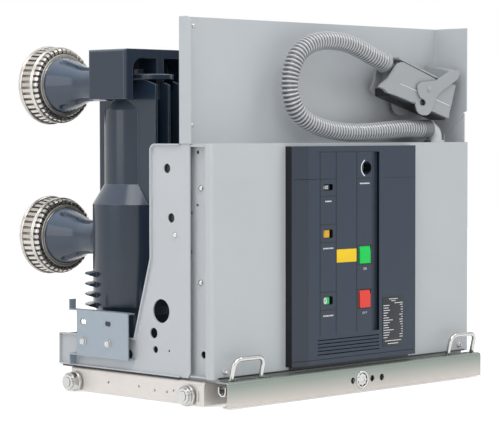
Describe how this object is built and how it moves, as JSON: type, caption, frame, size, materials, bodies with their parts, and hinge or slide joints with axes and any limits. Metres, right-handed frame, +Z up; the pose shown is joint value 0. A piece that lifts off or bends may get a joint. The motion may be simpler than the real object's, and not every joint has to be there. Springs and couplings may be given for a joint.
{
  "type": "withdrawable medium-voltage vacuum circuit breaker",
  "caption": "Vacuum circuit breaker on a racking truck: mechanism housing with control panel, cast-resin poles with finger contacts, cross beam, rollers and a plug on a conduit.",
  "frame": {"origin": "on the floor under the rollers, at the centre of the machine without its plug and conduit", "axes": "+X to the right seen from the control panel, +Y to the rear along the contact arms, +Z up"},
  "size_m": [0.697, 0.587, 0.64],
  "materials": {
    "zinc_steel": "satin, galvanised",
    "beam_steel": "satin, galvanised",
    "bright_steel": "bright",
    "frame_paint": "semi-matt light grey",
    "cover_paint": "semi-matt light grey",
    "bracket_zinc": "bluish zinc",
    "panel_plastic": "satin slate blue",
    "green_plastic": "gloss",
    "red_plastic": "gloss",
    "drum_plastic": "matt",
    "resin": "cast resin, satin",
    "silvered_copper": "silver plated",
    "conduit_plastic": "matt grey",
    "plug_metal": "powder coated",
    "black_plastic": "matt"
  },
  "bodies": {
    "breaker": {"truck_side_left": "zinc_steel", "truck_side_right": "zinc_steel", "truck_front": "zinc_steel", "truck_rear": "zinc_steel", "truck_deck": "zinc_steel", "side_plate_left": "frame_paint", "side_plate_right": "frame_paint", "base_tray": "frame_paint", "rear_rail": "frame_paint", "shutter_bracket_left": "bracket_zinc", "shutter_bracket_right": "bracket_zinc", "housing_side_left": "frame_paint", "housing_side_right": "frame_paint", "housing_top_plate": "frame_paint", "front_cover": "cover_paint", "shield_panel": "frame_paint", "shield_gusset": "frame_paint", "control_panel": "panel_plastic", "indicator_drums": "drum_plastic", "pole_left": "resin", "pole_centre": "resin", "pole_right": "resin", "upper_arms": "resin", "lower_arms": "resin", "upper_conductors": "silvered_copper", "lower_conductors": "silvered_copper", "upper_clusters": "silvered_copper", "lower_clusters": "silvered_copper", "conduit": "conduit_plastic", "conduit_elbow": "conduit_plastic", "plug_collar": "plug_metal", "plug_hood": "plug_metal", "plug_insert": "black_plastic"},
    "beam": {"cross_beam": "beam_steel"},
    "screw": {"racking_screw": "bright_steel"},
    "left_handle": {"handle_left": "bright_steel"},
    "right_handle": {"handle_right": "bright_steel"},
    "closing_button": {"close_button": "green_plastic"},
    "opening_button": {"open_button": "red_plastic"},
    "front_left_roller": {"roller_front_left": "bright_steel"},
    "front_right_roller": {"roller_front_right": "bright_steel"},
    "rear_left_roller": {"roller_rear_left": "bright_steel"},
    "rear_right_roller": {"roller_rear_right": "bright_steel"},
    "lever": {"plug_lever": "plug_metal"}
  },
  "joints": [
    {"name": "racking_slide", "type": "slide", "parent": "breaker", "child": "beam", "axis": [0, -1, 0], "range_m": [0, 0.2]},
    {"name": "racking_turn", "type": "hinge", "parent": "beam", "child": "screw", "pos_m": [0, -0.2935, 0.023], "axis": [0, 1, 0], "range_deg": [-5, 14405]},
    {"name": "left_handle_slide", "type": "slide", "parent": "beam", "child": "left_handle", "axis": [1, 0, 0], "range_m": [0, 0.02], "stiffness_N_per_m": 300},
    {"name": "right_handle_slide", "type": "slide", "parent": "beam", "child": "right_handle", "axis": [-1, 0, 0], "range_m": [0, 0.02], "stiffness_N_per_m": 300},
    {"name": "close_press", "type": "slide", "parent": "breaker", "child": "closing_button", "axis": [0, 1, 0], "range_m": [0, 0.005], "stiffness_N_per_m": 400},
    {"name": "open_press", "type": "slide", "parent": "breaker", "child": "opening_button", "axis": [0, 1, 0], "range_m": [0, 0.005], "stiffness_N_per_m": 400},
    {"name": "lever_turn", "type": "hinge", "parent": "breaker", "child": "lever", "pos_m": [0.226, -0.2235, 0.527], "axis": [0, -1, 0], "range_deg": [0, 70]},
    {"name": "front_left_roller_spin", "type": "hinge", "parent": "breaker", "child": "front_left_roller", "pos_m": [-0.335, -0.2025, 0.0175], "axis": [1, 0, 0], "continuous": true},
    {"name": "front_right_roller_spin", "type": "hinge", "parent": "breaker", "child": "front_right_roller", "pos_m": [0.335, -0.2025, 0.0175], "axis": [1, 0, 0], "continuous": true},
    {"name": "rear_left_roller_spin", "type": "hinge", "parent": "breaker", "child": "rear_left_roller", "pos_m": [-0.338, 0.0815, 0.0175], "axis": [1, 0, 0], "continuous": true},
    {"name": "rear_right_roller_spin", "type": "hinge", "parent": "breaker", "child": "rear_right_roller", "pos_m": [0.338, 0.0815, 0.0175], "axis": [1, 0, 0], "continuous": true}
  ],
  "couplings": [
    {"joint": "racking_turn", "follows": "racking_slide", "rad_per_m": 1256.6}
  ]
}
